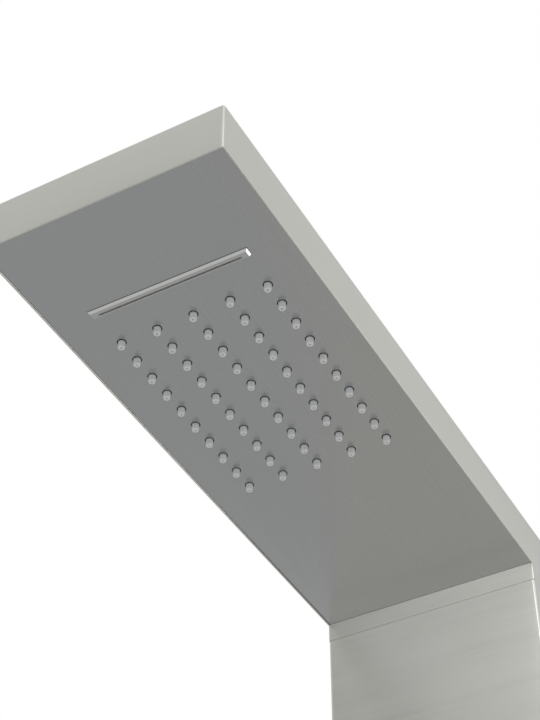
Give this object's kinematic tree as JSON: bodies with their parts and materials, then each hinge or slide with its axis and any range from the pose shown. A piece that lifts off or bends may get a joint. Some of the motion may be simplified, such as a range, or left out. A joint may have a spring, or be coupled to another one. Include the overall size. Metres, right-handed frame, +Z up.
{
  "type": "rainfall shower column",
  "caption": "Wall-hung steel shower column with a long flat rain and waterfall head, swivelling body jets, a thermostatic mixer and a diverter.",
  "frame": {"origin": "centre of the upper wall bracket's four-hole pattern, on the wall's surface", "axes": "+X to the right when facing the wall, +Y into the wall, +Z up"},
  "size_m": [0.2, 0.6, 1.52],
  "materials": {
    "brushed_steel": "brushed stainless sheet, grain across the column's front and along the head",
    "semi_polished_steel": "semi-polished stainless sheet, darker and more mirror-like than the casing",
    "polished_steel": "polished",
    "silicone": "translucent grey silicone",
    "black_rubber": "matt black",
    "plated_steel": "zinc plated or plain pressed steel",
    "brass": "machined, satin",
    "hose_braid": "stainless wire braid over a rubber tube",
    "white_plastic": "moulded, satin",
    "ceramic": "ground ceramic",
    "red_plastic": "moulded, gloss"
  },
  "bodies": {
    "panel": {"head_shell": "brushed_steel", "column_shell": "brushed_steel", "junction_band": "brushed_steel", "foot_cap": "brushed_steel", "face_plate": "semi_polished_steel", "waterfall_outlet": "polished_steel", "transfer_pipe": "polished_steel", "hand_outlet": "polished_steel", "temp_escutcheon": "polished_steel", "diverter_escutcheon": "polished_steel", "jet_trims": "polished_steel", "nozzle_mat": "silicone", "waterfall_gasket": "black_rubber", "jet_seals": "black_rubber", "rain_chamber": "plated_steel", "waterfall_chamber": "plated_steel", "chamber_nuts": "plated_steel", "plate_clips": "plated_steel", "gusset_left": "plated_steel", "gusset_right": "plated_steel", "foot_cap_screws": "plated_steel", "hanger": "plated_steel", "bracket_nuts": "plated_steel", "wall_plate_upper": "plated_steel", "wall_plate_lower": "plated_steel", "lock_screws": "plated_steel", "rain_elbow": "brass", "waterfall_elbow": "brass", "mixer_body": "brass", "hot_inlet_union": "brass", "cold_inlet_union": "brass", "cartridge_nuts": "brass", "lock_rings": "brass", "diverter_body": "brass", "hose_nuts": "brass", "outlet_locknut": "brass", "rain_hose": "hose_braid", "waterfall_hose": "hose_braid", "jet_feed_hoses": "hose_braid", "hand_shower_hose": "hose_braid", "thermostatic_cartridge": "white_plastic", "diverter_cartridge": "white_plastic", "jet_housings": "white_plastic", "jet_nuts": "white_plastic"},
    "temp_control": {"temp_knob": "polished_steel", "temp_spindle": "brass"},
    "override_button": {"stop_button": "red_plastic"},
    "regulator": {"regulator_piston": "ceramic"},
    "diverter_control": {"diverter_knob": "polished_steel", "diverter_spindle": "brass", "diverter_disc": "ceramic"},
    "swivel_1": {"jet_swivel_1": "white_plastic"},
    "ball_1": {"jet_ball_1": "polished_steel"},
    "swivel_2": {"jet_swivel_2": "white_plastic"},
    "ball_2": {"jet_ball_2": "polished_steel"},
    "swivel_3": {"jet_swivel_3": "white_plastic"},
    "ball_3": {"jet_ball_3": "polished_steel"},
    "swivel_4": {"jet_swivel_4": "white_plastic"},
    "ball_4": {"jet_ball_4": "polished_steel"}
  },
  "joints": [
    {"name": "temp_turn", "type": "hinge", "parent": "panel", "child": "temp_control", "pos_m": [0, -0.09, -1], "axis": [0, 1, 0], "range_deg": [-30, 130]},
    {"name": "button_press", "type": "slide", "parent": "temp_control", "child": "override_button", "axis": [0, 0, -1], "range_m": [0, 0.002], "stiffness_N_per_m": 400, "springref_m": -0.001},
    {"name": "regulator_slide", "type": "slide", "parent": "panel", "child": "regulator", "axis": [0, 1, 0], "range_m": [-0.0003, 0.001]},
    {"name": "diverter_turn", "type": "hinge", "parent": "panel", "child": "diverter_control", "pos_m": [0, -0.09, -0.86], "axis": [0, 1, 0], "range_deg": [-90, 90]},
    {"name": "swivel_turn_1", "type": "hinge", "parent": "panel", "child": "swivel_1", "pos_m": [0, -0.062, -0.31], "axis": [0, 1, 0], "continuous": true},
    {"name": "jet_tilt_1", "type": "hinge", "parent": "swivel_1", "child": "ball_1", "pos_m": [0, -0.062, -0.31], "axis": [1, 0, 0], "range_deg": [-12, 12]},
    {"name": "swivel_turn_2", "type": "hinge", "parent": "panel", "child": "swivel_2", "pos_m": [0, -0.062, -0.44], "axis": [0, 1, 0], "continuous": true},
    {"name": "jet_tilt_2", "type": "hinge", "parent": "swivel_2", "child": "ball_2", "pos_m": [0, -0.062, -0.44], "axis": [1, 0, 0], "range_deg": [-12, 12]},
    {"name": "swivel_turn_3", "type": "hinge", "parent": "panel", "child": "swivel_3", "pos_m": [0, -0.062, -0.57], "axis": [0, 1, 0], "continuous": true},
    {"name": "jet_tilt_3", "type": "hinge", "parent": "swivel_3", "child": "ball_3", "pos_m": [0, -0.062, -0.57], "axis": [1, 0, 0], "range_deg": [-12, 12]},
    {"name": "swivel_turn_4", "type": "hinge", "parent": "panel", "child": "swivel_4", "pos_m": [0, -0.062, -0.7], "axis": [0, 1, 0], "continuous": true},
    {"name": "jet_tilt_4", "type": "hinge", "parent": "swivel_4", "child": "ball_4", "pos_m": [0, -0.062, -0.7], "axis": [1, 0, 0], "range_deg": [-12, 12]}
  ],
  "couplings": [
    {"joint": "regulator_slide", "follows": "temp_turn", "m_per_rad": 0.0004}
  ]
}
